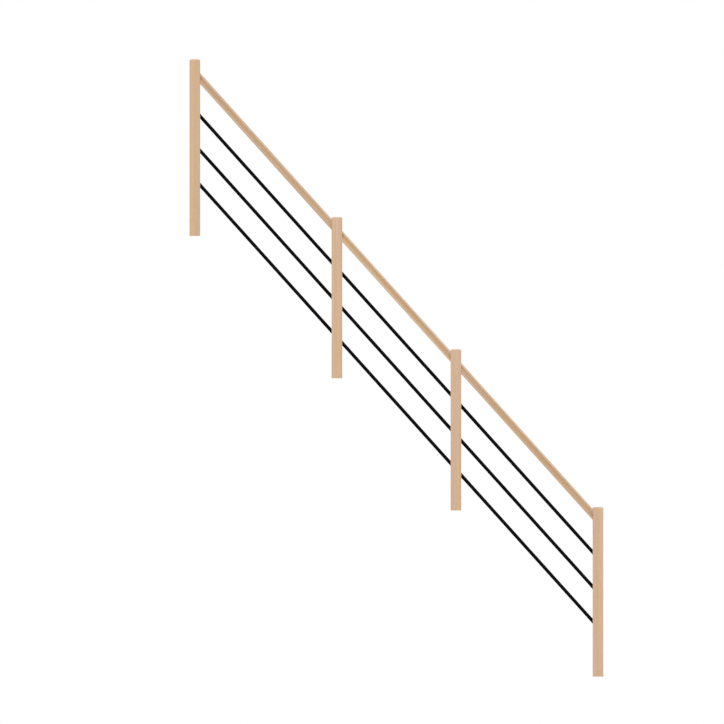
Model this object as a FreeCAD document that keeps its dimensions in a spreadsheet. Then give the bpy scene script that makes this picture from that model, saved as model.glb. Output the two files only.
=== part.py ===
import FreeCAD, Part
import math
import os
import Sketcher
from FreeCAD import Vector

# Stair balustrade panel: four timber posts carry a grooved handrail and three rows of round steel rods,
# all at the pitch of the stair. The stair climbs towards -X and the panel lies in the XZ plane.
# The origin is the middle of the bottom post's foot, with +Z up.

# Driving dimensions, in millimetres and degrees
SIZES = {
    # Pitch of the stair, and the distance between post centres in each bay
    "pitch": 48,
    "upper_bay": 800,
    "middle_bay": 670,
    "lower_bay": 800,
    # Post section, along the stair and across it, with its rounded edges and rounded head
    "post_width": 60,
    "post_depth": 60,
    "arris_radius": 3,
    "head_radius": 10,
    # Heights on a post's centre line, from the middle of the handrail up to the head and down to the foot
    "head_height": 75,
    "top_foot_drop": 920,
    "middle_foot_drop": 833,
    "bottom_foot_drop": 880,
    # Blind hole in each foot for the bolt that fixes the post
    "foot_hole": 10,
    "foot_hole_depth": 70,
    # Handrail section, square to the pitch, with a half-round finger cove along each side
    "rail_width": 52,
    "rail_height": 42,
    "rail_top_radius": 8,
    "rail_base_radius": 6,
    "cove_radius": 10,
    "cove_lip_radius": 1.5,
    # Steel rods, with the clear gaps below the handrail and between the rows, square to the pitch
    "rod_diameter": 20,
    "rod_wall": 1.5,
    "rail_gap": 111,
    "rod_gap": 110,
    # Fit of a rod in its hole, and the space left between the ends of two rods inside a post
    "rod_clearance": 0.25,
    "rod_end_space": 12,
}
ROWS = ("top", "middle", "low")
NEAR = 1e-4
MM3_PER_LITRE = 1e6

doc = FreeCAD.newDocument("stair_balustrade")


# The sheet, and what is bound to it


def make_sheet():
    """Put each driving dimension in a cell of the sheet named sizes, with its name as the alias."""
    sheet = doc.addObject("Spreadsheet::Sheet", "sizes")
    for row, (name, value) in enumerate(SIZES.items(), start=1):
        sheet.set(f"A{row}", name)
        sheet.set(f"B{row}", str(value))
        sheet.setAlias(f"B{row}", name)
    doc.recompute()


def bind(item, expressions):
    """Bind properties of an object to expressions over the sheet."""
    for path, expression in expressions.items():
        item.setExpression(path, expression)


# Lines of the panel, as expressions over the sheet


def rail_line(run):
    """Height of the handrail's centre line at a level distance up the stair from the bottom post."""
    return f"(sizes.bottom_foot_drop + {run} * tan(sizes.pitch))"


def row_spacing():
    """Plumb distance from one row of rods to the next."""
    return "(sizes.rod_gap + sizes.rod_diameter) / cos(sizes.pitch)"


def row_drop(row):
    """Plumb distance from the handrail's centre line down to the centre line of a row of rods."""
    first = "(sizes.rail_height / 2 + sizes.rail_gap + sizes.rod_diameter / 2) / cos(sizes.pitch)"
    return f"({first} + {row} * {row_spacing()})"


def pitched_length(bay):
    """Length of a bay along the pitch, between the centre lines of its posts."""
    return f"sizes.{bay}_bay / cos(sizes.pitch)"


# Bodies


def new_body(label, x, z):
    """Start a body whose own origin lies at x, z in the panel's plane."""
    body = doc.addObject("PartDesign::Body", label)
    body.Label = label
    bind(body, {"Placement.Base.x": x, "Placement.Base.z": z})
    return body


def bay_body(label, bay, run, drop="0"):
    """Start a body in the middle of a bay, at a plumb drop below the handrail's centre line.

    run is the level distance up the stair from the bottom post to the lower post of the bay.
    """
    middle = f"({run} + sizes.{bay}_bay / 2)"
    return new_body(label, f"-{middle}", f"{rail_line(middle)} - {drop}")


def origin_feature(body, role):
    return next(item for item in body.Origin.OriginFeatures if item.Role == role)


# Sketches


def new_sketch(body, name, plane):
    sketch = body.newObject("Sketcher::SketchObject", name)
    sketch.AttachmentSupport = [(origin_feature(body, plane), "")]
    sketch.MapMode = "FlatFace"
    return sketch


def pitched_sketch(body, name, height="0"):
    """Sketch square to the pitch: its X runs across the panel and its normal runs down the stair."""
    sketch = new_sketch(body, name, "YZ_Plane")
    tilt = FreeCAD.Rotation(Vector(1, 0, 0), SIZES["pitch"])
    sketch.AttachmentOffset = FreeCAD.Placement(Vector(0, 0, 0), tilt)
    bind(sketch, {"AttachmentOffset.Rotation.Angle": "sizes.pitch", "AttachmentOffset.Base.y": height})
    return sketch


def dimension(sketch, constraint, name, expression):
    """Add a named dimension to a sketch and bind it to an expression."""
    sketch.renameConstraint(sketch.addConstraint(constraint), name)
    bind(sketch, {f"Constraints.{name}": expression})


def add_outline(sketch, curves):
    """Add curves that follow one another round a closed outline, each end joined to the next start.

    Each curve is a pair: the curve itself, and whether it runs from its end to its start.
    """
    ends = []
    for curve, backwards in curves:
        index = sketch.addGeometry(curve)
        ends.append((index, 2, 1) if backwards else (index, 1, 2))
    for (index, _, end), (following, start, _) in zip(ends, ends[1:] + ends[:1]):
        sketch.addConstraint(Sketcher.Constraint("Coincident", index, end, following, start))
    return [index for index, _, _ in ends]


def keep_square(sketch, level_lines, upright_lines):
    """Hold some lines along the sketch's X and others along its Y."""
    for line in level_lines:
        sketch.addConstraint(Sketcher.Constraint("Horizontal", line))
    for line in upright_lines:
        sketch.addConstraint(Sketcher.Constraint("Vertical", line))


def add_rectangle(sketch, left, low, right, high):
    """Add a rectangle, returning its bottom, right, top and left lines."""
    corners = [Vector(left, low), Vector(right, low), Vector(right, high), Vector(left, high)]
    lines = [(Part.LineSegment(a, b), False) for a, b in zip(corners, corners[1:] + corners[:1])]
    bottom, right_side, top, left_side = add_outline(sketch, lines)
    keep_square(sketch, (bottom, top), (right_side, left_side))
    return bottom, right_side, top, left_side


def add_circle(sketch, name, expression, radius):
    """Add a circle round the sketch's origin, its diameter bound to an expression."""
    circle = sketch.addGeometry(Part.Circle(Vector(0, 0), Vector(0, 0, 1), radius))
    sketch.addConstraint(Sketcher.Constraint("Coincident", circle, 3, -1, 1))
    dimension(sketch, Sketcher.Constraint("Diameter", circle, 2 * radius), name, expression)


# Features


def pad_both_ways(body, name, section, length):
    """Carry a section both ways along its normal, to a length bound to an expression."""
    pad = body.newObject("PartDesign::Pad", name)
    pad.Profile = section
    pad.SideType = "Symmetric"
    bind(pad, {"Length": length})
    return pad


def fillet(body, name, base, wanted, radius):
    """Round the edges of a feature that pass a test, to a radius bound to an expression."""
    doc.recompute()
    edges = [f"Edge{number}" for number, edge in enumerate(base.Shape.Edges, start=1) if wanted(edge)]
    rounded = body.newObject("PartDesign::Fillet", name)
    rounded.Base = (base, edges)
    bind(rounded, {"Radius": radius})
    return rounded


def check_cuts(body, *features):
    """Stop unless each feature leaves less of the body than the one before it."""
    doc.recompute()
    volumes = [feature.Shape.Volume for feature in features]
    if any(after >= before for before, after in zip(volumes, volumes[1:])):
        raise RuntimeError(f"{body.Label}: a cut took nothing off")


# Posts


def pad_shaft(body, foot_drop):
    """Square shaft of a post, from its foot up to its head."""
    section = new_sketch(body, "section", "XY_Plane")
    half_width = SIZES["post_width"] / 2
    half_depth = SIZES["post_depth"] / 2
    bottom, right, _, _ = add_rectangle(section, -half_width, -half_depth, half_width, half_depth)
    section.addConstraint(Sketcher.Constraint("Symmetric", bottom, 1, right, 2, -1, 1))
    width = Sketcher.Constraint("DistanceX", bottom, 1, bottom, 2, 2 * half_width)
    dimension(section, width, "post_width", "sizes.post_width")
    depth = Sketcher.Constraint("DistanceY", right, 1, right, 2, 2 * half_depth)
    dimension(section, depth, "post_depth", "sizes.post_depth")

    shaft = body.newObject("PartDesign::Pad", "shaft")
    shaft.Profile = section
    bind(shaft, {"Length": f"{foot_drop} + sizes.head_height"})
    return shaft


def round_shaft(body, shaft):
    """Ease the four long arrises of a shaft, then round the rim of its head."""

    def is_plumb(edge):
        start, end = (vertex.Point for vertex in edge.Vertexes)
        return math.hypot(end.x - start.x, end.y - start.y) < NEAR

    def is_rim(edge):
        return all(abs(vertex.Z - shaft.Shape.BoundBox.ZMax) < NEAR for vertex in edge.Vertexes)

    arrises = fillet(body, "arrises", shaft, is_plumb, "sizes.arris_radius")
    return fillet(body, "rounded_head", arrises, is_rim, "sizes.head_radius")


def drill_rod_holes(body, foot_drop, sides):
    """Drill a hole at the pitch for the top rod, and repeat it down the post for the other rows.

    sides says where the rods come in: uphill, downhill or both, where both gives holes that run
    right through and the others stop at the post's centre line.
    """
    bore = pitched_sketch(body, "rod_bore", f"{foot_drop} - {row_drop(0)}")
    bore_radius = SIZES["rod_diameter"] / 2 + SIZES["rod_clearance"]
    add_circle(bore, "rod_bore", "sizes.rod_diameter + 2 * sizes.rod_clearance", bore_radius)
    drilled = body.newObject("PartDesign::Pocket", "drilled")
    drilled.Profile = bore
    drilled.SideType = "Symmetric" if sides == "both" else "One side"
    drilled.Type = "ThroughAll"
    drilled.Reversed = sides == "downhill"

    rows = body.newObject("PartDesign::LinearPattern", "rows")
    rows.Originals = [drilled]
    rows.Direction = (origin_feature(body, "Z_Axis"), [""])
    rows.Reversed = True
    rows.Mode = "Spacing"
    rows.Occurrences = len(ROWS)
    bind(rows, {"Offset": row_spacing()})
    body.Tip = rows
    return rows


def drill_foot(body):
    """Blind hole up the middle of a post from its foot."""
    foot = new_sketch(body, "foot", "XY_Plane")
    add_circle(foot, "foot_hole", "sizes.foot_hole", SIZES["foot_hole"] / 2)
    foot_hole = body.newObject("PartDesign::Pocket", "foot_hole")
    foot_hole.Profile = foot
    foot_hole.Reversed = True
    bind(foot_hole, {"Length": "sizes.foot_hole_depth"})
    body.Tip = foot_hole
    return foot_hole


def make_post(label, run, foot_drop, sides):
    """Square post with a rounded head, holes at the pitch for the rods and a bolt hole in its foot.

    run is the level distance up the stair from the bottom post.
    """
    body = new_body(label, f"-({run})", f"{rail_line(run)} - {foot_drop}")
    rounded = round_shaft(body, pad_shaft(body, foot_drop))
    rod_holes = drill_rod_holes(body, foot_drop, sides)
    foot_hole = drill_foot(body)
    check_cuts(body, rounded, rod_holes, foot_hole)
    return body


# Handrail


def draw_rail_section(body):
    """Section of the handrail: a rectangle with a half-round cove in the middle of each side.

    The middle of each cove lies on the line of its side.
    """
    section = pitched_sketch(body, "section")
    half_width = SIZES["rail_width"] / 2
    half_height = SIZES["rail_height"] / 2
    radius = SIZES["cove_radius"]
    heights = (-half_height, -radius, radius, half_height)
    base_right, low_right, high_right, top_right = (Vector(half_width, height) for height in heights)
    base_left, low_left, high_left, top_left = (Vector(-half_width, height) for height in heights)
    right_cove = Part.Circle(Vector(half_width, 0), Vector(0, 0, 1), radius)
    left_cove = Part.Circle(Vector(-half_width, 0), Vector(0, 0, 1), radius)
    outline = [
        (Part.LineSegment(base_left, base_right), False),
        (Part.LineSegment(base_right, low_right), False),
        (Part.ArcOfCircle(right_cove, math.pi / 2, 3 * math.pi / 2), True),
        (Part.LineSegment(high_right, top_right), False),
        (Part.LineSegment(top_right, top_left), False),
        (Part.LineSegment(top_left, high_left), False),
        (Part.ArcOfCircle(left_cove, -math.pi / 2, math.pi / 2), True),
        (Part.LineSegment(low_left, base_left), False),
    ]
    base, low_r, cove_r, high_r, top, high_l, cove_l, low_l = add_outline(section, outline)
    keep_square(section, (base, top), (low_r, high_r, high_l, low_l))
    section.addConstraint(Sketcher.Constraint("Symmetric", base, 1, high_r, 2, -1, 1))
    for cove, side in ((cove_r, low_r), (cove_l, low_l)):
        section.addConstraint(Sketcher.Constraint("Symmetric", cove, 1, cove, 2, -1))
        section.addConstraint(Sketcher.Constraint("PointOnObject", cove, 3, side))
    section.addConstraint(Sketcher.Constraint("Equal", cove_r, cove_l))
    width = Sketcher.Constraint("DistanceX", base, 1, base, 2, 2 * half_width)
    dimension(section, width, "rail_width", "sizes.rail_width")
    height = Sketcher.Constraint("DistanceY", base, 2, top, 1, 2 * half_height)
    dimension(section, height, "rail_height", "sizes.rail_height")
    dimension(section, Sketcher.Constraint("Radius", cove_r, radius), "cove_radius", "sizes.cove_radius")
    return section


def ease_rail(body, length):
    """Round the long edges of a rail: its top arrises, its base arrises and the lips of its coves."""
    pitch = math.radians(SIZES["pitch"])
    along = Vector(math.cos(pitch), 0, -math.sin(pitch))
    up = Vector(math.sin(pitch), 0, math.cos(pitch))

    def is_long(edge, height):
        """Whether an edge runs along a side of the rail, at a height square to the pitch."""
        start, end = (vertex.Point for vertex in edge.Vertexes)
        run = end - start
        runs_along = run.Length > NEAR and run.cross(along).Length < NEAR
        on_side = abs(abs(start.y) - SIZES["rail_width"] / 2) < NEAR
        return runs_along and on_side and abs(start.dot(up) - height) < NEAR

    top = SIZES["rail_height"] / 2
    cove = SIZES["cove_radius"]
    # An arris is no larger than the land between it and the lip of the cove
    land = "sizes.rail_height / 2 - sizes.cove_radius - sizes.cove_lip_radius"
    rounds = (
        ("top_arris", (top,), f"min(sizes.rail_top_radius; {land})"),
        ("base_arris", (-top,), f"min(sizes.rail_base_radius; {land})"),
        ("cove_lips", (cove, -cove), "sizes.cove_lip_radius"),
    )
    eased = length
    for name, heights, radius in rounds:
        eased = fillet(
            body, name, eased, lambda edge: any(is_long(edge, height) for height in heights), radius
        )
    return eased


def cut_plumb(body, bay):
    """Cut the lower end of a rail off plumb at the face of its post, and the upper end like it.

    What is cut off is the stretch of rail that would lie inside the post.
    """
    span = f"sizes.{bay}_bay"
    bay_size = SIZES[f"{bay}_bay"]
    clear = (bay_size - SIZES["post_width"]) / 2
    reach = bay_size * math.tan(math.radians(SIZES["pitch"]))
    end = new_sketch(body, "end", "XZ_Plane")
    _, right, _, left = add_rectangle(end, clear, -reach, bay_size, reach)
    face = Sketcher.Constraint("DistanceX", -1, 1, left, 2, clear)
    dimension(end, face, "post_face", f"({span} - sizes.post_width) / 2")
    beyond = Sketcher.Constraint("DistanceX", -1, 1, right, 1, bay_size)
    dimension(end, beyond, "beyond", span)
    below = Sketcher.Constraint("DistanceY", right, 1, -1, 1, reach)
    dimension(end, below, "below", f"{span} * tan(sizes.pitch)")
    above = Sketcher.Constraint("DistanceY", -1, 1, right, 2, reach)
    dimension(end, above, "above", f"{span} * tan(sizes.pitch)")

    plumb_cut = body.newObject("PartDesign::Pocket", "plumb_cut")
    plumb_cut.Profile = end
    plumb_cut.SideType = "Symmetric"
    plumb_cut.Type = "ThroughAll"
    both_ends = body.newObject("PartDesign::PolarPattern", "both_ends")
    both_ends.Originals = [plumb_cut]
    both_ends.Axis = (origin_feature(body, "Y_Axis"), [""])
    both_ends.Occurrences = 2
    body.Tip = both_ends
    return both_ends


def make_handrail(bay, run):
    """Handrail length for one bay: a coved section carried along the pitch and cut plumb at both posts."""
    body = bay_body(f"{bay}_handrail", bay, run)
    length = pad_both_ways(body, "length", draw_rail_section(body), pitched_length(bay))
    eased = ease_rail(body, length)
    check_cuts(body, length, eased, cut_plumb(body, bay))
    return body


# Rods


def make_rod(bay, run, row):
    """Steel tube for one row of one bay, its ends inside the two posts."""
    body = bay_body(f"{bay}_bay_{ROWS[row]}_rod", bay, run, row_drop(row))
    section = pitched_sketch(body, "section")
    outer = SIZES["rod_diameter"] / 2
    add_circle(section, "outside", "sizes.rod_diameter", outer)
    add_circle(section, "inside", "sizes.rod_diameter - 2 * sizes.rod_wall", outer - SIZES["rod_wall"])
    pad_both_ways(body, "tube", section, f"{pitched_length(bay)} - sizes.rod_end_space")
    return body


# Checks and files


def check(sub_parts):
    """Stop if any feature failed or any sub-part isn't one valid solid."""
    doc.recompute()
    failed = [item.Label for item in doc.Objects if {"Invalid", "Error"} & set(item.State)]
    for part in sub_parts:
        shape = part.Shape
        if shape.isNull() or not shape.isValid() or len(shape.Solids) != 1:
            failed.append(part.Label)
    if failed:
        raise RuntimeError("failed: " + ", ".join(failed))


def write(sub_parts):
    os.makedirs("parts", exist_ok=True)
    for part in sub_parts:
        part.Shape.exportStep(f"parts/{part.Label}.step")
        print(f"{part.Label}: {part.Shape.Volume / MM3_PER_LITRE:.3f} litres")


make_sheet()

# Level distances up the stair from the bottom post to each of the others
LOWER_RUN = "sizes.lower_bay"
UPPER_RUN = f"({LOWER_RUN} + sizes.middle_bay)"
TOP_RUN = f"({UPPER_RUN} + sizes.upper_bay)"

parts = [
    make_post("bottom_post", "0", "sizes.bottom_foot_drop", "uphill"),
    make_post("lower_post", LOWER_RUN, "sizes.middle_foot_drop", "both"),
    make_post("upper_post", UPPER_RUN, "sizes.middle_foot_drop", "both"),
    make_post("top_post", TOP_RUN, "sizes.top_foot_drop", "downhill"),
]
for bay, run in (("lower", "0"), ("middle", LOWER_RUN), ("upper", UPPER_RUN)):
    parts.append(make_handrail(bay, run))
    parts += [make_rod(bay, run, row) for row in range(len(ROWS))]

check(parts)
write(parts)
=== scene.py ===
# %% [markdown]
# # A stair balustrade panel
# The real panel closes the open side of a stair. Four square beech posts carry a beech handrail in
# three lengths and three rows of black steel rods, all at the pitch of the stair.
# The CAD model gives every place and size, so it is loaded first, as a fixed frame that is never
# moved. Blender adds the looks: finer rails and rods, wood grain, a powder coat, light and a camera.

import bpy
import numpy as np
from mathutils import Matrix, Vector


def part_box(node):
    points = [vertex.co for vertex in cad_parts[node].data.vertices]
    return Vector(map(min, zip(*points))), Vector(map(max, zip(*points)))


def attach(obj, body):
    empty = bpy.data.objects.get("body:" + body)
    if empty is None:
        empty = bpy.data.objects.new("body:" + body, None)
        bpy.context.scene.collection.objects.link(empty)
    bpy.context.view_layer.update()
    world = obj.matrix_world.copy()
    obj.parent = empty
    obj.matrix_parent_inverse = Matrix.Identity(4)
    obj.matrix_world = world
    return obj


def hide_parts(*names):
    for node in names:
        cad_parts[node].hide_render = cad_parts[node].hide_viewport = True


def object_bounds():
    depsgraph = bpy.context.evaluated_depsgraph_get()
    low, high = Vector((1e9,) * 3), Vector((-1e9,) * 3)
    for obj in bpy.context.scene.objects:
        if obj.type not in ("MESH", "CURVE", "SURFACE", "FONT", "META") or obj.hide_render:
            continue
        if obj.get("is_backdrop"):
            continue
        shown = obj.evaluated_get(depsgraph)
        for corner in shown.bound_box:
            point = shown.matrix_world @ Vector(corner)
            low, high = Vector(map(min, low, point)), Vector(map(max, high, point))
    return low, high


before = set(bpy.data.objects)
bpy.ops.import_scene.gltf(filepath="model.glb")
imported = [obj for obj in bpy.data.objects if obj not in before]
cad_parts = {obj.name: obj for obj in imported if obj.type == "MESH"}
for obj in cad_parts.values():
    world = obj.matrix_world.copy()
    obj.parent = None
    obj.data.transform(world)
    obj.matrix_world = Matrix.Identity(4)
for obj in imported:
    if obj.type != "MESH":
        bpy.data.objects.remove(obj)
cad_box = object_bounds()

low, high = (np.array(corner) for corner in cad_box)
print("frame:", len(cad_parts), "nodes,", np.round(high - low, 3), "m")

# %% [markdown]
# ## Sizes from the frame
# A balustrade is laid out from the line through its post heads, which rises at the pitch of the stair.
# The angle could be typed in, but then it would have to be changed by hand with every CAD change.
# Here it is measured from the boxes of the bottom and top posts.

# %% Measure the pitch
def node_box(name):
    """The lowest and highest corners of a CAD node, as the two rows of an array."""
    return np.array([tuple(corner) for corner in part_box(name)])


def post_head(name):
    """The middle of a post's head: the middle of its box across and along, and the top of it."""
    lowest, highest = node_box(name)
    return np.array([*(lowest + highest)[:2] / 2, highest[2]])


climb = post_head("top_post") - post_head("bottom_post")
pitch = np.arctan2(climb[2], -climb[0])
print("pitch:", round(float(np.degrees(pitch)), 3), "degrees")

# %% [markdown]
# ## The camera
# The photograph is a square-on elevation with no perspective: the posts are all equally wide and the
# rails stay parallel. A long lens from far away comes close to that, but an orthographic camera gives
# it exactly. Its scale follows from the share of the picture's width that the panel fills, and its
# place from the point of the panel's box that lies in the middle of the picture.

# %% Set up the camera
# Pixels of the photograph: its own width, and the width of the panel in it
PICTURE_WIDTH = 724
PANEL_WIDTH = 413.83
# The middle of the picture, as shares of the panel's length from its left end and of its height
PICTURE_CENTRE = np.array([0.4168, 0.5096])
# Metres in front of the panel: an orthographic camera sees the same from any distance
CAMERA_DISTANCE = 8.0


def put_in_scene(name, data):
    """An object that holds a mesh, a lamp or a lens, linked to the scene."""
    made = bpy.data.objects.new(name, data)
    bpy.context.scene.collection.objects.link(made)
    return made


lens = bpy.data.cameras.new("elevation_camera")
lens.type = "ORTHO"
lens.ortho_scale = float((high - low)[0] * PICTURE_WIDTH / PANEL_WIDTH)
centre = low[[0, 2]] + PICTURE_CENTRE * (high - low)[[0, 2]]
camera = put_in_scene("elevation_camera", lens)
camera.location = (centre[0], -CAMERA_DISTANCE, centre[1])
camera.rotation_euler = (np.pi / 2, 0, 0)
bpy.context.scene.camera = camera
print("camera: picture", round(lens.ortho_scale, 4), "m wide, centred on", np.round(centre, 4))

# %% [markdown]
# ## Nodes and colours
# Materials, the world and the floor are all node trees, so one small function adds a node, sets its
# properties, and fills or links its sockets. Colours are picked from a picture as sRGB hex, but
# shaders work with linear light, so one function turns them.

# %% Add a node, read a colour
def add_node(tree, kind, sockets=None, **settings):
    """Adds a node. settings are its properties; sockets takes values, or outputs that are linked."""
    made = tree.nodes.new(kind)
    for name, value in settings.items():
        setattr(made, name, value)
    for name, value in (sockets or {}).items():
        if isinstance(value, bpy.types.NodeSocket):
            tree.links.new(value, made.inputs[name])
        else:
            made.inputs[name].default_value = value
    return made


def new_material(name):
    """A material whose node tree is still empty."""
    made = bpy.data.materials.new(name)
    made.use_nodes = True
    made.node_tree.nodes.clear()
    return made


def linear(hex_colour):
    """sRGB hex to linear: a channel is divided by 12.92 near black and raised to 2.4 above that."""
    srgb = np.array([int(hex_colour[i : i + 2], 16) for i in (1, 3, 5)]) / 255
    rgb = np.where(srgb <= 0.04045, srgb / 12.92, ((srgb + 0.055) / 1.055) ** 2.4)
    return (*rgb.tolist(), 1.0)


print("mid grey #808080 is", round(linear("#808080")[0], 3), "in linear light")

# %% [markdown]
# ## The white room
# A studio for plain catalogue pictures is a white room, with light from all round. The world stands
# for its walls. They show as white behind the panel and in reflections, but at that strength they
# would bleach the wood, so the light that falls on surfaces is lower. A Light Path node tells the two
# apart: it knows whether a ray of light comes from the camera, from a gloss or from a matt surface.
# The Standard view transform then shows white as white, and a colour as it is written.

# %% Paint the room white
ROOM_LIGHT = 0.68

world = bpy.data.worlds.new("white_room")
world.use_nodes = True
room = world.node_tree
room.nodes.clear()
ray = add_node(room, "ShaderNodeLightPath")
seen = ray.outputs["Is Camera Ray"]
for kind in ("Is Glossy Ray", "Is Transmission Ray"):
    seen = add_node(
        room, "ShaderNodeMath", {0: seen, 1: ray.outputs[kind]}, operation="MAXIMUM"
    ).outputs[0]
strength = add_node(room, "ShaderNodeMapRange", {"Value": seen, "To Min": ROOM_LIGHT, "To Max": 1.0})
white = add_node(
    room, "ShaderNodeBackground", {"Color": linear("#FFFFFF"), "Strength": strength.outputs[0]}
)
add_node(room, "ShaderNodeOutputWorld", {"Surface": white.outputs[0]})
bpy.context.scene.world = world
bpy.context.scene.view_settings.view_transform = "Standard"
print("room: light on surfaces", ROOM_LIGHT)

# %% [markdown]
# ## The lamps
# A soft key lamp a little above the lens shapes the posts, a smaller one to its right draws a line of
# light along the rods, one overhead lights the heads, and a wide one behind keeps the back from going
# dull. Area lamps near the panel would fade over its 3.5 m of height, so the lamps are suns with a
# wide disc, which light top and bottom alike. With the room they add up to a level at which a colour
# renders about as it is written.

# %% Hang the lamps
# Each lamp's power, its turn to the right of the lens, its height and the width of its disc, in degrees
LAMPS = {
    "key": (0.44, -15, 25, 30),
    "fill": (0.20, 47, 33, 8),
    "top": (0.70, 0, 78, 20),
    "back": (0.45, 170, 25, 60),
}

for name, (power, turn, height, disc) in LAMPS.items():
    lamp = bpy.data.lights.new(f"{name}_lamp", "SUN")
    lamp.energy = power
    lamp.angle = np.radians(disc)
    stand = put_in_scene(f"{name}_lamp", lamp)
    stand.rotation_euler = (np.radians(90 - height), 0, np.radians(turn))
print("lamps:", ", ".join(LAMPS))

# %% [markdown]
# ## The floor
# The bottom post stands on a pale floor. Seen square on, the floor is a line with no thickness, but
# it sends light back up and takes the panel's shadow in views from above. One large quad with a matt
# paint is enough, and it is marked as stage, because it isn't part of the object.

# %% Lay a pale floor
# Metres from the bottom post to each edge, which keeps the edges out of the pictures
FLOOR_REACH = 40.0

corners = FLOOR_REACH * np.array([(-1, -1, 0), (1, -1, 0), (1, 1, 0), (-1, 1, 0)]) + (0, 0, low[2])
floor_mesh = bpy.data.meshes.new("floor")
floor_mesh.from_pydata(corners.tolist(), [], [(0, 1, 2, 3)])
put_in_scene("floor", floor_mesh)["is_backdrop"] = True

matt_paint = new_material("matt_floor_paint")
paint = add_node(matt_paint.node_tree, "ShaderNodeBsdfDiffuse", {"Color": linear("#F3F2F0")})
add_node(matt_paint.node_tree, "ShaderNodeOutputMaterial", {"Surface": paint.outputs[0]})
floor_mesh.materials.append(matt_paint)
print("floor: at", round(float(low[2]), 4), "m")

# %% [markdown]
# ## Surfaces from grids of points
# The rails and the rods are both one outline carried along a line. Blender's curves with a bevel would
# do for that, but their ends are always square, and a rail's ends are plumb. So each is a numpy grid of
# points, one row for each station along the piece, and the function below joins the rows with quads.

# %% Join a grid into a piece
# Degrees between two faces, past which the edge between them isn't shaded smooth
CRISP_ANGLE = 40


def grid_piece(name, points, joined=False):
    """A piece from a grid of points, each row of it a closed loop.

    Quads join each row to the next. joined also joins the last row to the first, as on a ring, and
    otherwise one face closes each end.
    """
    rows, columns = points.shape[:2]
    index = np.arange(rows * columns).reshape(rows, columns)
    here, there = (index, np.roll(index, -1, 0)) if joined else (index[:-1], index[1:])
    quads = np.stack([here, np.roll(here, -1, 1), np.roll(there, -1, 1), there], -1)
    faces = quads.reshape(-1, 4).tolist()
    if not joined:
        faces += [index[0, ::-1].tolist(), index[-1].tolist()]
    mesh = bpy.data.meshes.new(name)
    mesh.from_pydata(points.reshape(-1, 3).tolist(), [], faces)
    mesh.shade_smooth()
    mesh.set_sharp_from_angle(angle=np.radians(CRISP_ANGLE))
    return put_in_scene(name, mesh)


print("grids: edges over", CRISP_ANGLE, "degrees stay crisp")

# %% [markdown]
# ## The handrail's section
# A hand closes round the rail's rounded top, and the fingers find the cove along each side.
# A moulding plane or a router with round cutters makes such a section, so it is all arcs and flats:
# a base arris, a flat, the cove between its two eased lips, a flat, and the larger top arris.
# Drawing one side from those arcs and mirroring it gives an outline that is exact at any fineness.

# %% Draw the section
# Metres, as the CAD rails have them
BASE_RADIUS = 0.006
TOP_RADIUS = 0.008
LIP_RADIUS = 0.0015
COVE_RADIUS = 0.010
# Degrees from one point of an arc to the next, at most
ARC_STEP = 8


def arc(middle, radius, start, end):
    """Points on a circle: the middle, plus the radius times cosine and sine of evenly spaced angles."""
    steps = int(np.ceil(abs(end - start) / ARC_STEP)) + 1
    angle = np.radians(np.linspace(start, end, steps))
    return np.array(middle) + radius * np.stack([np.cos(angle), np.sin(angle)], -1)


def rail_section(width, height):
    """The closed outline of the rail, square to its length, as across and up.

    The cove is half a circle about a point on the side. Each lip's arc touches the side and the cove:
    its middle is a lip radius inside the side, and a lip radius further from the cove's middle than
    the cove itself, which gives its height by Pythagoras.
    """
    side, top = width / 2, height / 2
    lip_up = np.sqrt((COVE_RADIUS + LIP_RADIUS) ** 2 - LIP_RADIUS**2)
    meet = np.degrees(np.arctan2(lip_up, LIP_RADIUS))
    right = np.concatenate([
        arc((side - BASE_RADIUS, BASE_RADIUS - top), BASE_RADIUS, -90, 0),
        arc((side - LIP_RADIUS, -lip_up), LIP_RADIUS, 0, meet),
        arc((side, 0), COVE_RADIUS, 180 + meet, 180 - meet)[1:-1],
        arc((side - LIP_RADIUS, lip_up), LIP_RADIUS, -meet, 0),
        arc((side - TOP_RADIUS, top - TOP_RADIUS), TOP_RADIUS, 0, 90),
    ])
    left = right[::-1] * (-1, 1)
    return np.concatenate([right, left])


print("rail section: one side has arcs of", BASE_RADIUS, LIP_RADIUS, COVE_RADIUS, TOP_RADIUS, "m")

# %% [markdown]
# ## Handrails
# Each length of rail butts against the faces of two posts, so its ends are cut plumb. A plumb slice
# of a pitched bar is its square section drawn out upwards by one over the cosine of the pitch.
# That makes the piece simple: the drawn-out section stands at stations along the level, each set
# at the height of the rail's line there, and both ends come out plumb by themselves.

# %% Carry the section along each bay
BAYS = ("lower", "middle", "upper")
# Sections along a rail, near enough to each other that the quads between them aren't slivers
RAIL_STATIONS = 25


def carry_plumb(name, node):
    """The rail for a bay: at a level place x, an outline point across y and up w goes to x, y, and
    the height of the rail's line at x plus w over the cosine of the pitch."""
    lowest, highest = node_box(node)
    size = highest - lowest
    middle = (lowest + highest) / 2
    depth = (size[2] - size[0] * np.tan(pitch)) * np.cos(pitch)
    section = rail_section(size[1], depth)
    x = np.linspace(lowest[0], highest[0], RAIL_STATIONS)[:, None]
    line = middle[2] - (x - middle[0]) * np.tan(pitch)
    y = np.broadcast_to(section[:, 0], (RAIL_STATIONS, len(section)))
    z = line + section[:, 1] / np.cos(pitch)
    points = np.stack([np.broadcast_to(x, y.shape), y, z], -1)
    return grid_piece(name, points)


rails = {}
for bay in BAYS:
    rail = carry_plumb(f"{bay}_rail", f"{bay}_handrail")
    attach(rail, "root")
    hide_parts(f"{bay}_handrail")
    rails[bay] = rail
    print(rail.name, len(rail.data.polygons), "faces")

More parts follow.
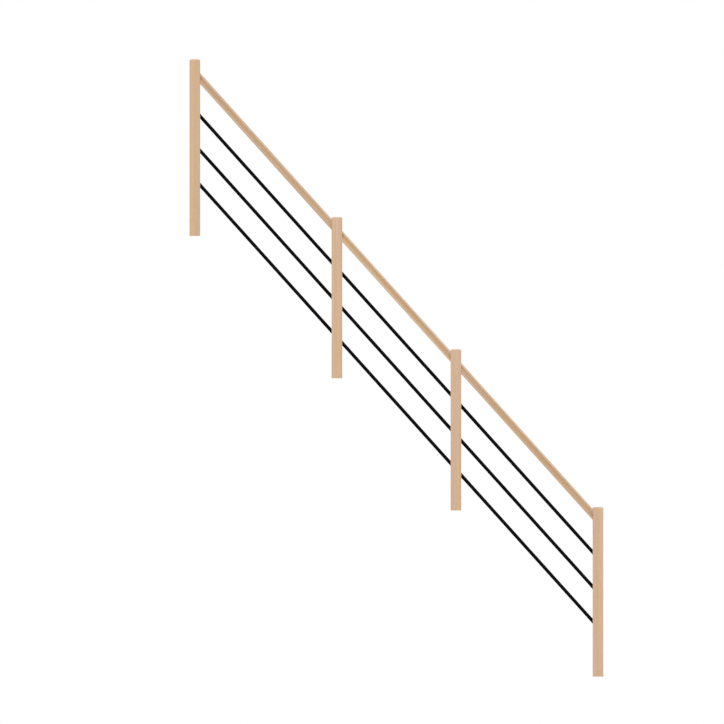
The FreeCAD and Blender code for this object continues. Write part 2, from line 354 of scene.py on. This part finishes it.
# %% [markdown]
# ## A map for the rails
# When the part is exported, each piece's wood is baked into a picture, and a UV map says which bit of the
# picture goes where. The exporter can lay one out by itself, but on a pitched rail the grain then runs
# askew through the pixels and comes out blurred. So each rail brings its own map, unrolled like a label
# from a tin: its length along the picture, the way round its section up the picture, and its two
# ends in the strip above. The grain then follows the rows of pixels, and the pixels are finest across it.

# %% Unroll each rail
# The exporter bakes through a map of this name
BAKE_MAP = "OFBake"
# The lower left and upper right corners of the sides' area and of each end's, as shares of the picture
MAP_AREAS = np.array([
    [(0.01, 0.01), (0.99, 0.90)],
    [(0.01, 0.93), (0.06, 0.99)],
    [(0.09, 0.93), (0.14, 0.99)],
])


def unroll(mesh):
    """Gives a rail its map, for the corners of its faces in turn.

    A corner of a side goes to its share of the length and its share of the way round the outline, and
    a corner of an end to its shares of the width and the height, each within its own area.
    """
    places = np.empty(3 * len(mesh.vertices), np.float32)
    mesh.vertices.foreach_get("co", places)
    outline = places.reshape(RAIL_STATIONS, -1, 3)[0, :, 1:]
    steps = np.linalg.norm(np.roll(outline, -1, 0) - outline, axis=1)
    way_round = np.append(0, np.cumsum(steps)) / steps.sum()
    length = np.linspace(0, 1, RAIL_STATIONS)
    sheet = np.stack(np.meshgrid(length, way_round, indexing="ij"), -1)
    sides = np.stack([sheet[:-1, :-1], sheet[:-1, 1:], sheet[1:, 1:], sheet[1:, :-1]], 2)
    end = (outline - outline.min(0)) / np.ptp(outline, 0)
    shares = (sides.reshape(-1, 2), end[::-1], end)
    uv = np.concatenate([
        corner + share * (far_corner - corner) for share, (corner, far_corner) in zip(shares, MAP_AREAS)
    ])
    mesh.uv_layers.new(name=BAKE_MAP).uv.foreach_set("vector", uv.astype(np.float32).ravel())
    return uv


for rail in rails.values():
    unrolled = unroll(rail.data)
print("rails: maps of", len(unrolled), "corners, from", unrolled.min(0), "to", unrolled.max(0))

# %% [markdown]
# ## Rods
# The rods are steel tube, let into holes in the posts. Turning the outline of the tube's wall about the
# rod's own line gives a ring that is closed both ways, with no caps and no poles, and enough faces
# round it that no flats show against a white wall.

# %% Turn the tube wall about each rod's line
ROWS = ("top", "middle", "low")
# Metres, as the CAD rods have it
TUBE_WALL = 0.0015
# Faces round a tube, and rings of points along the outside and again along the inside
ROD_SIDES = 40
ROD_STATIONS = 9

downstair = np.array([np.cos(pitch), 0, -np.sin(pitch)])
across = np.array([0.0, 1.0, 0.0])
square_up = np.array([np.sin(pitch), 0, np.cos(pitch)])


def turned_tube(name, node):
    """The rod in a node's box: wall outline points at a distance s along the rod and r from its line
    go to the middle plus s down the stair, plus r times cosine across and sine square up."""
    lowest, highest = node_box(node)
    size = highest - lowest
    radius = size[1] / 2
    length = (size[0] - 2 * radius * np.sin(pitch)) / np.cos(pitch)
    s = np.linspace(-length / 2, length / 2, ROD_STATIONS)
    s = np.concatenate([s, s[::-1]])[:, None, None]
    r = np.repeat([radius, radius - TUBE_WALL], ROD_STATIONS)[:, None, None]
    turn = np.linspace(0, 2 * np.pi, ROD_SIDES, endpoint=False)[None, :, None]
    round_line = np.cos(turn) * across + np.sin(turn) * square_up
    points = (lowest + highest) / 2 + s * downstair + r * round_line
    return grid_piece(name, points, joined=True)


rods = {}
for bay in BAYS:
    for row in ROWS:
        rod = turned_tube(f"{bay}_{row}_tube", f"{bay}_bay_{row}_rod")
        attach(rod, "root")
        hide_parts(f"{bay}_bay_{row}_rod")
        rods[bay, row] = rod
print("rods:", len(rods), "of", len(rod.data.polygons), "faces")

# %% [markdown]
# ## Wood as a solid
# The posts and rails are beech. A flat picture of grain on each face would break at the arrises, because
# real grain runs through the piece, and every cut shows more of it. So the wood here is a solid pattern:
# each point of a piece gets its place in the block that the piece was milled from, and the patterns
# of the next steps read that place. The place is in millimetres, so that sizes can be taken from
# real wood, and the grain runs along its Z. A Mapping node works it out, and turns a leaning rail upright.

# %% Find the place in the block
MM_PER_M = 1000


def upright_turn(turn):
    """The matrix that turns about the across axis: a point goes to x cos + z sin, y, z cos - x sin."""
    return np.array([[np.cos(turn), 0, np.sin(turn)], [0, 1, 0], [-np.sin(turn), 0, np.cos(turn)]])


def block_place(tree, middle, turn):
    """Millimetres from the line through a piece's middle, once the turn stands the piece upright.

    The turned place less the turned middle, but only to the sides: along the grain the place goes on
    from piece to piece, so that no two have the same stretch of wood.
    """
    shift = -MM_PER_M * upright_turn(turn) @ middle
    return add_node(
        tree,
        "ShaderNodeMapping",
        {
            "Vector": add_node(tree, "ShaderNodeTexCoord").outputs["Object"],
            "Location": (shift[0], shift[1], 0),
            "Rotation": (0, turn, 0),
            "Scale": (MM_PER_M, MM_PER_M, MM_PER_M),
        },
    ).outputs[0]


print("rails lean", round(float(np.degrees(np.pi / 2 - pitch)), 1), "degrees from upright")

# %% [markdown]
# ## Glued staves
# A whole baulk as thick as a post would crack as it dries, so posts are glued up from three staves, each
# from another board. Close to, a glue line shows as a small step in tone and grain. Real seams in
# the mesh would split every post, so here the staves are numbered, by rounding the place across the post,
# and white noise gives each number chance values: a tone of its own, and a turn and a shift
# that put it elsewhere in the wood. A rail is one stave, wider than itself.

# %% Number the staves
# Millimetres: a stave's width in posts and rails, how far apart two staves' places in the wood may be,
# and how far from the heart they start. A post's stave is a little over a third of the post, so that
# none of its sides lies where two numbers meet.
POST_STAVE = 20.4
RAIL_STAVE = 60.0
BOARD_SPREAD = (120, 120, 4000)
HEART_CLEAR = (45, 45, 0)
# Added to a stave's number for each metre along the panel, so that no two pieces draw the same chances
SEED_PER_M = 7


def glued_staves(tree, place, stave, middle):
    """The chance tone of each stave, from 0 to 1, and the place in the board that it was cut from.

    A stave's number is the place across over the stave's width, rounded, plus a seed from where the
    piece stands. The place in the board is the place turned about the grain by a chance angle, plus
    a chance share of the spread, plus the least distance from the tree's heart.
    """
    level = add_node(tree, "ShaderNodeSeparateXYZ", {0: place}).outputs["X"]
    widths = add_node(tree, "ShaderNodeMath", {0: level, 1: stave}, operation="DIVIDE").outputs[0]
    whole = add_node(tree, "ShaderNodeMath", {0: widths}, operation="ROUND").outputs[0]
    seed = SEED_PER_M * middle[0]
    number = add_node(tree, "ShaderNodeMath", {0: whole, 1: seed}, operation="ADD").outputs[0]
    chance = add_node(tree, "ShaderNodeTexWhiteNoise", {"W": number}, noise_dimensions="1D")
    tone = chance.outputs["Value"]
    angle = add_node(tree, "ShaderNodeMath", {0: tone, 1: 2 * np.pi}, operation="MULTIPLY").outputs[0]
    turned = add_node(
        tree, "ShaderNodeVectorRotate", {"Vector": place, "Angle": angle}, rotation_type="Z_AXIS"
    ).outputs[0]
    shift = add_node(
        tree,
        "ShaderNodeVectorMath",
        {0: chance.outputs["Color"], 1: BOARD_SPREAD, 2: HEART_CLEAR},
        operation="MULTIPLY_ADD",
    ).outputs[0]
    board = add_node(tree, "ShaderNodeVectorMath", {0: turned, 1: shift}, operation="ADD").outputs[0]
    return tone, board


print("staves:", POST_STAVE, "mm in the posts")

# %% [markdown]
# ## Streaks, fibres and flecks
# Beech is a pale, even wood. From a few metres off only soft streaks of pinker and yellower wood show.
# Close to, there are long thin fibres, and the short dark flecks of the rays that cross them.
# All four are lumps drawn out along the grain, so one noise makes them, each with its own lengths in
# millimetres. Real fibres are finer than a hair, and real rays half as wide as the flecks here: both
# are drawn coarser, because at their own size they would melt into the tone.

# %% Draw out the noise
# Each kind's size to both sides and along the grain, in millimetres, and the detail of its noise
STREAKS = {
    "tone": ((12.0, 12.0, 900.0), 2.0),
    "hue": ((9.0, 9.0, 1100.0), 1.0),
    "fibre": ((0.9, 0.9, 90.0), 3.0),
    "fleck": ((1.1, 1.1, 6.0), 0.0),
}


def streak(tree, board, size, detail):
    """Noise from 0 to 1 with lumps of a given size: it is read at the place divided by that size."""
    drawn = add_node(tree, "ShaderNodeVectorMath", {0: board, 1: size}, operation="DIVIDE").outputs[0]
    noise = add_node(tree, "ShaderNodeTexNoise", {"Vector": drawn, "Scale": 1, "Detail": detail})
    return noise.outputs["Fac"]


print("streaks:", ", ".join(f"{kind} {size[0]} x {size[2]} mm" for kind, (size, _) in STREAKS.items()))

# %% [markdown]
# ## Growth rings
# A tree adds one ring a year, pale in spring and darkening to a thin line in autumn. That is a saw-tooth
# wave outwards from the tree's heart, so a Wave texture in rings makes it. Boards are sawn clear of the
# heart, which is why the rings are shallow arcs at a post's head and long streaks on its faces. No tree
# is a perfect cylinder, so the rings also stray in and out a little, slowly round the heart and far more
# slowly along the grain.

# %% Grow the rings
# Millimetres: the width of a ring, how far it strays, and the distance over which it does so
RING_WIDTH = 3.2
RING_STRAY = 4.6
STRAY_LENGTH = 340
# Lengths along the grain are pressed together by this, so that the rings stray slowly there
GRAIN_PRESS = 0.06
# At a scale of 1, a Wave texture repeats after this distance
WAVE_PERIOD = np.pi / 10


def growth_rings(tree, board):
    """Rings about the board's heart, rising from 0 to 1 over each ring's width.

    The wave's distortion is an angle, one whole turn for each ring's width that a ring strays.
    """
    pressed = add_node(
        tree, "ShaderNodeVectorMath", {0: board, 1: (1, 1, GRAIN_PRESS)}, operation="MULTIPLY"
    ).outputs[0]
    wave = add_node(
        tree,
        "ShaderNodeTexWave",
        {
            "Vector": pressed,
            "Scale": WAVE_PERIOD / RING_WIDTH,
            "Distortion": 2 * np.pi * RING_STRAY / RING_WIDTH,
            "Detail": 2,
            "Detail Scale": RING_WIDTH / (WAVE_PERIOD * STRAY_LENGTH),
        },
        wave_type="RINGS",
        rings_direction="Z",
        wave_profile="SAW",
    )
    return wave.outputs["Fac"]


print("rings:", RING_WIDTH, "mm wide")

# %% [markdown]
# ## End grain
# Where wood is cut across, its fibres end in the surface and drink more lacquer, so a post's head and
# foot are darker and show their rings as arcs. A second material on those faces would change at a hard
# edge. Here the surface's own normal says how far it faces along the grain, so the change follows the
# round of the head. The normal is the same from every side, whatever camera looks at it.

# %% Find the end grain
def end_grain(tree, turn):
    """How far a surface faces along the grain: the size of the dot product of its normal and the grain."""
    grain = upright_turn(turn).T @ (0, 0, 1)
    normal = add_node(tree, "ShaderNodeNewGeometry").outputs["Normal"]
    facing = add_node(
        tree, "ShaderNodeVectorMath", {0: normal, 1: grain}, operation="DOT_PRODUCT"
    ).outputs["Value"]
    return add_node(tree, "ShaderNodeMath", {0: facing}, operation="ABSOLUTE").outputs[0]


print("grain of the rails:", np.round(upright_turn(np.pi / 2 - pitch).T @ (0, 0, 1), 3))

# %% [markdown]
# ## The colour of beech
# The patterns become colour in layers, as a decorator grains a door: the palest wood first, and over it
# one glaze for each pattern, laid where the pattern is strong. The shares are small, because beech is
# quiet: its colours are close together, and only the flecks and the rings of the end grain are dark.

# %% Lay the colours over each other
# Each layer's colour, its pattern, where in the pattern it starts and is full, and its share there
LAYERS = (
    ("#CDA88B", "tone", 0.35, 0.65, 0.90),
    ("#C9A688", "stave", 0.00, 1.00, 0.45),
    ("#D8B683", "hue", 0.38, 0.62, 0.80),
    ("#BC936E", "rings", 0.10, 1.00, 0.22),
    ("#B0875F", "fibre", 0.45, 0.75, 0.35),
    ("#8C623F", "fleck", 0.66, 0.74, 0.40),
    ("#B48B66", "end_grain", 0.60, 0.95, 0.40),
    ("#8F6644", "end_rings", 0.55, 1.00, 0.50),
)
# A Mix node has sockets for every kind of data. These are the ones for colours, two in and one out
MIX_SHARE, MIX_UNDER, MIX_OVER = 0, 6, 7
MIXED = 2


def layered_colour(tree, palest, patterns):
    """The palest colour, mixed with each layer's colour by its share of its pattern."""
    colour = linear(palest)
    for hex_colour, kind, start, full, share in LAYERS:
        amount = add_node(
            tree,
            "ShaderNodeMapRange",
            {"Value": patterns[kind], "From Min": start, "From Max": full, "To Max": share},
        ).outputs[0]
        colour = add_node(
            tree,
            "ShaderNodeMix",
            {MIX_SHARE: amount, MIX_UNDER: colour, MIX_OVER: linear(hex_colour)},
            data_type="RGBA",
        ).outputs[MIXED]
    return colour


print("beech:", len(LAYERS), "layers of colour")

# %% [markdown]
# ## One block of beech
# All patterns have to read the same board, or a stave's streaks would run on past its glue line.
# They could be wired up anew in every material, but one function that gathers them by name keeps
# them in step, and the layers of colour can then ask for each pattern by its name.

# %% Gather the patterns
def beech_patterns(tree, middle, turn, stave):
    """Every pattern of a block of beech by its name, each from 0 to 1.

    The end rings are the rings times how far the surface faces along the grain.
    """
    tone, board = glued_staves(tree, block_place(tree, middle, turn), stave, middle)
    patterns = {kind: streak(tree, board, *lengths) for kind, lengths in STREAKS.items()}
    patterns["stave"] = tone
    patterns["rings"] = growth_rings(tree, board)
    patterns["end_grain"] = end_grain(tree, turn)
    patterns["end_rings"] = add_node(
        tree, "ShaderNodeMath", {0: patterns["end_grain"], 1: patterns["rings"]}, operation="MULTIPLY"
    ).outputs[0]
    return patterns


print("patterns:", ", ".join(kind for _, kind, *_ in LAYERS))

# %% [markdown]
# ## Lacquered beech
# The wood is planed, sanded and sprayed with a satin lacquer. The lacquer is too thin to hide the
# fibres, which stand a few hundredths of a millimetre proud and break up its sheen along the grain.
# To the eye that gives a soft, silky gloss, with no sharp reflections. A glossy shader could be mixed
# over a matt one by hand, but the Principled shader's coat is just such a lacquer.

# %% Lacquer a block
# Millimetres that the fibres stand proud, and the roughness of the sheen between them and on them
FIBRE_RELIEF = 0.05
SILKY, BROKEN_UP = 0.36, 0.52


def lacquered_beech(name, middle, turn, palest, stave):
    """Beech for one piece, in its palest colour and its staves' width in millimetres.

    middle is a point on the piece's centre line, and turn the angle that stands the piece upright.
    """
    wood = new_material(name)
    tree = wood.node_tree
    patterns = beech_patterns(tree, middle, turn, stave)
    relief = add_node(
        tree,
        "ShaderNodeBump",
        {"Height": patterns["fibre"], "Strength": 0.6, "Distance": FIBRE_RELIEF / MM_PER_M},
    )
    sheen = add_node(
        tree, "ShaderNodeMapRange", {"Value": patterns["fibre"], "To Min": SILKY, "To Max": BROKEN_UP}
    )
    lacquer = add_node(
        tree,
        "ShaderNodeBsdfPrincipled",
        {
            "Base Color": layered_colour(tree, palest, patterns),
            "Roughness": sheen.outputs[0],
            "IOR": 1.5,
            "Normal": relief.outputs[0],
            "Coat Weight": 0.15,
            "Coat Roughness": 0.3,
        },
    )
    add_node(tree, "ShaderNodeOutputMaterial", {"Surface": lacquer.outputs[0]})
    return wood


print("lacquer: roughness", SILKY, "to", BROKEN_UP, "over fibres of", FIBRE_RELIEF, "mm")

# %% [markdown]
# ## Posts and rails get their wood
# Each piece was milled from its own block, so each has its own material: one material for all would
# put the rails' grain on a slant. The CAD posts already have their true shape, so they stay and only
# take the wood in their slot. The rails' wood is painted paler than the posts': this is painted light,
# which makes up for the shade that falls on their rounded faces under these lamps.

# %% Mill each piece
POSTS = ("bottom_post", "lower_post", "upper_post", "top_post")
POST_WOOD = "#D9BEAB"
# Painted light: the rails' colour is paler than the posts', to make up for the shade on their rounded
# faces
RAIL_WOOD_WITH_PAINTED_LIGHT = "#E2CDBF"

for post in POSTS:
    wood = lacquered_beech(f"lacquered_beech_{post}", post_head(post), 0.0, POST_WOOD, POST_STAVE)
    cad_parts[post].material_slots[0].material = wood
lean = np.pi / 2 - pitch
for bay, rail in rails.items():
    middle = node_box(f"{bay}_handrail").mean(0)
    wood = lacquered_beech(f"lacquered_beech_{bay}_rail", middle, lean, RAIL_WOOD_WITH_PAINTED_LIGHT, RAIL_STAVE)
    rail.data.materials.append(wood)
print("beech:", len(POSTS) + len(rails), "blocks of", len(wood.node_tree.nodes), "nodes")

# %% [markdown]
# ## Black powder coat
# The rods are sprayed with dry powder that is melted into a tough satin skin. Close to, the skin has the
# slight waviness of orange peel; from further off it is black with a soft line of light along it.
# The waves are a solid noise about a millimetre across, so they run round the tube with no seam.
# A broader noise makes the black and its gloss a little uneven, as where the powder lay thicker.

# %% Coat the rods
# Millimetres: the width of a wave and its height, and the width of a thicker patch
PEEL_SIZE = 1.2
PEEL_RELIEF = 0.06
CLOUD_SIZE = 30
THIN_BLACK, THICK_BLACK = "#020203", "#060607"
THIN_SATIN, THICK_SATIN = 0.17, 0.25

powder = new_material("black_powder_coat")
coat = powder.node_tree
place = add_node(coat, "ShaderNodeTexCoord").outputs["Object"]
peel = add_node(
    coat, "ShaderNodeTexNoise", {"Vector": place, "Scale": MM_PER_M / PEEL_SIZE, "Detail": 1}
)
cloud = add_node(
    coat, "ShaderNodeTexNoise", {"Vector": place, "Scale": MM_PER_M / CLOUD_SIZE, "Detail": 2}
)
black = add_node(
    coat,
    "ShaderNodeMix",
    {
        MIX_SHARE: cloud.outputs["Fac"],
        MIX_UNDER: linear(THIN_BLACK),
        MIX_OVER: linear(THICK_BLACK),
    },
    data_type="RGBA",
)
satin = add_node(
    coat,
    "ShaderNodeMapRange",
    {"Value": cloud.outputs["Fac"], "To Min": THIN_SATIN, "To Max": THICK_SATIN},
)
waves = add_node(
    coat,
    "ShaderNodeBump",
    {"Height": peel.outputs["Fac"], "Strength": 0.5, "Distance": PEEL_RELIEF / MM_PER_M},
)
skin = add_node(
    coat,
    "ShaderNodeBsdfPrincipled",
    {
        "Base Color": black.outputs[MIXED],
        "Roughness": satin.outputs[0],
        "Specular IOR Level": 0.04,
        "Normal": waves.outputs[0],
    },
)
add_node(coat, "ShaderNodeOutputMaterial", {"Surface": skin.outputs[0]})
for rod in rods.values():
    rod.data.materials.append(powder)
print("powder coat:", len(rods), "rods")

# %% [markdown]
# Looks must not change the size of the part. The box of the CAD model and the box of what is shown
# now are compared, and the largest shift of any side is printed.

# %% Compare both boxes and finish
shown_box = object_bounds()
grown = max(abs(a - b) for ours, cad in zip(shown_box, cad_box) for a, b in zip(ours, cad))
print("size: the box has moved by", round(MM_PER_M * grown, 3), "mm at most")
